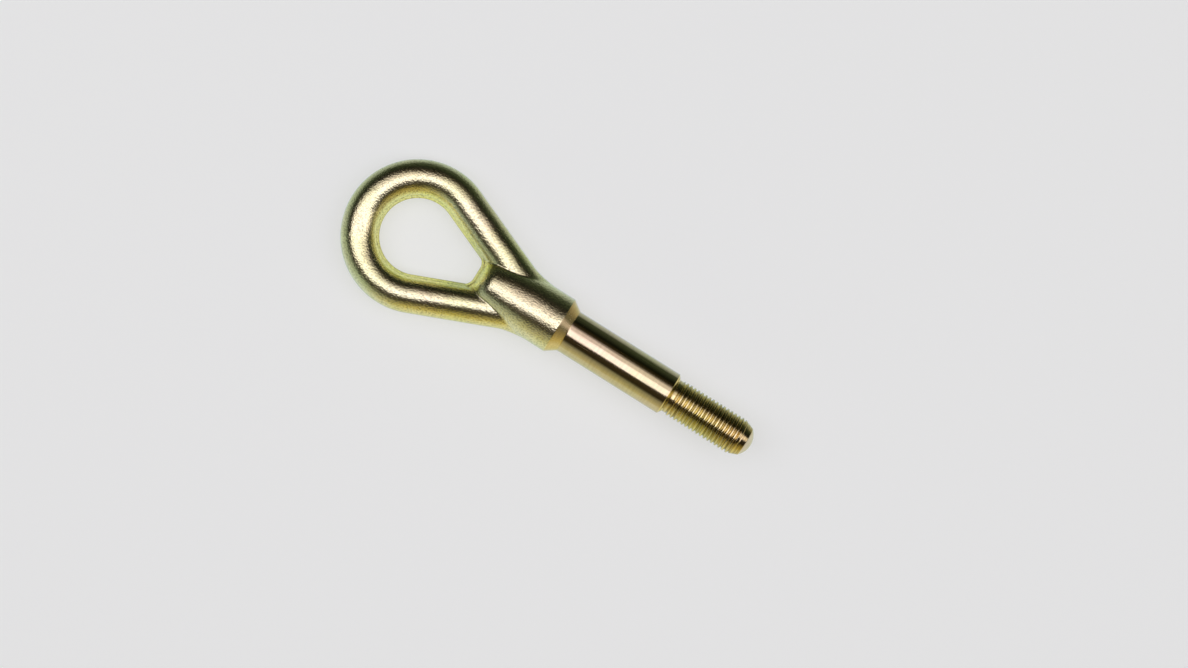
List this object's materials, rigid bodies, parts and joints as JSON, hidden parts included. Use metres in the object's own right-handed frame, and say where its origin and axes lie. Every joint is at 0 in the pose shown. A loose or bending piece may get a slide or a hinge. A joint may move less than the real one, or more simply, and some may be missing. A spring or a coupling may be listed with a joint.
{
  "type": "tow eye",
  "caption": "Forged steel screw-in tow eye: a teardrop loop of round bar on a thick neck, with a plain shank and a coarse-threaded tip that screws into a vehicle's towing socket.",
  "frame": {"origin": "on the shank's axis, where the plain shank starts at the root of the seat cone", "axes": "+X along the shank's axis from the eye towards the threaded tip, +Y across the loop in its plane, +Z square to the loop's plane"},
  "size_m": [0.2171, 0.0716, 0.028],
  "materials": {
    "yellow_zinc": "yellow passivated zinc plating, satin blasted on the forged loop and neck, bright turned on the shank and thread"
  },
  "bodies": {
    "root": {"tow_eye": "yellow_zinc"}
  },
  "joints": []
}
